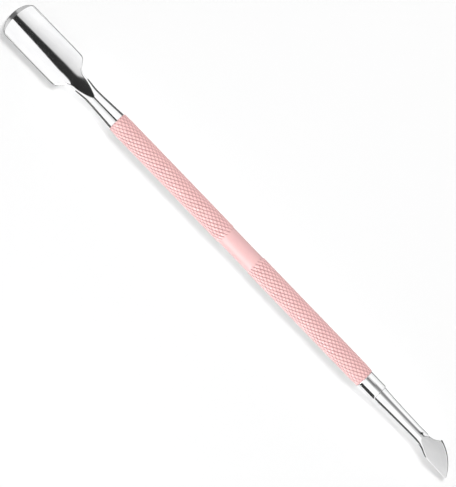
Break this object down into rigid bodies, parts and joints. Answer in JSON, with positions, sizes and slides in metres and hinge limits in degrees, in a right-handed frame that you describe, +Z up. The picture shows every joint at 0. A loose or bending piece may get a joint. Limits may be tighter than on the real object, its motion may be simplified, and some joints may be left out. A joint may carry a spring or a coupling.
{
  "type": "cuticle pusher",
  "caption": "Double-ended steel cuticle pusher: hollow spoon blade at one end, curved flat-ground remover blade at the other, slim knurled pink handle.",
  "frame": {"origin": "on the surface the tool lies on, under the middle of its length, below the handle's axis", "axes": "+X along the tool, from the spoon-shaped pusher (-X) to the remover blade (+X); +Z up, the way the spoon's hollow and the remover's ground face look; +Y across, to the side where the remover's cutting edge starts"},
  "size_m": [0.1403, 0.0092, 0.0049],
  "materials": {
    "polished_steel": "mirror-polished stainless steel, satin on the ground bevels",
    "drawn_steel": "plain drawn stainless tube, hidden inside the handle",
    "pink_lacquer": "satin pastel pink lacquer over knurled metal"
  },
  "bodies": {
    "root": {"pusher_tip": "polished_steel", "core_tube": "drawn_steel", "grip_sleeve": "pink_lacquer", "end_collar": "polished_steel", "remover_tip": "polished_steel"}
  },
  "joints": []
}
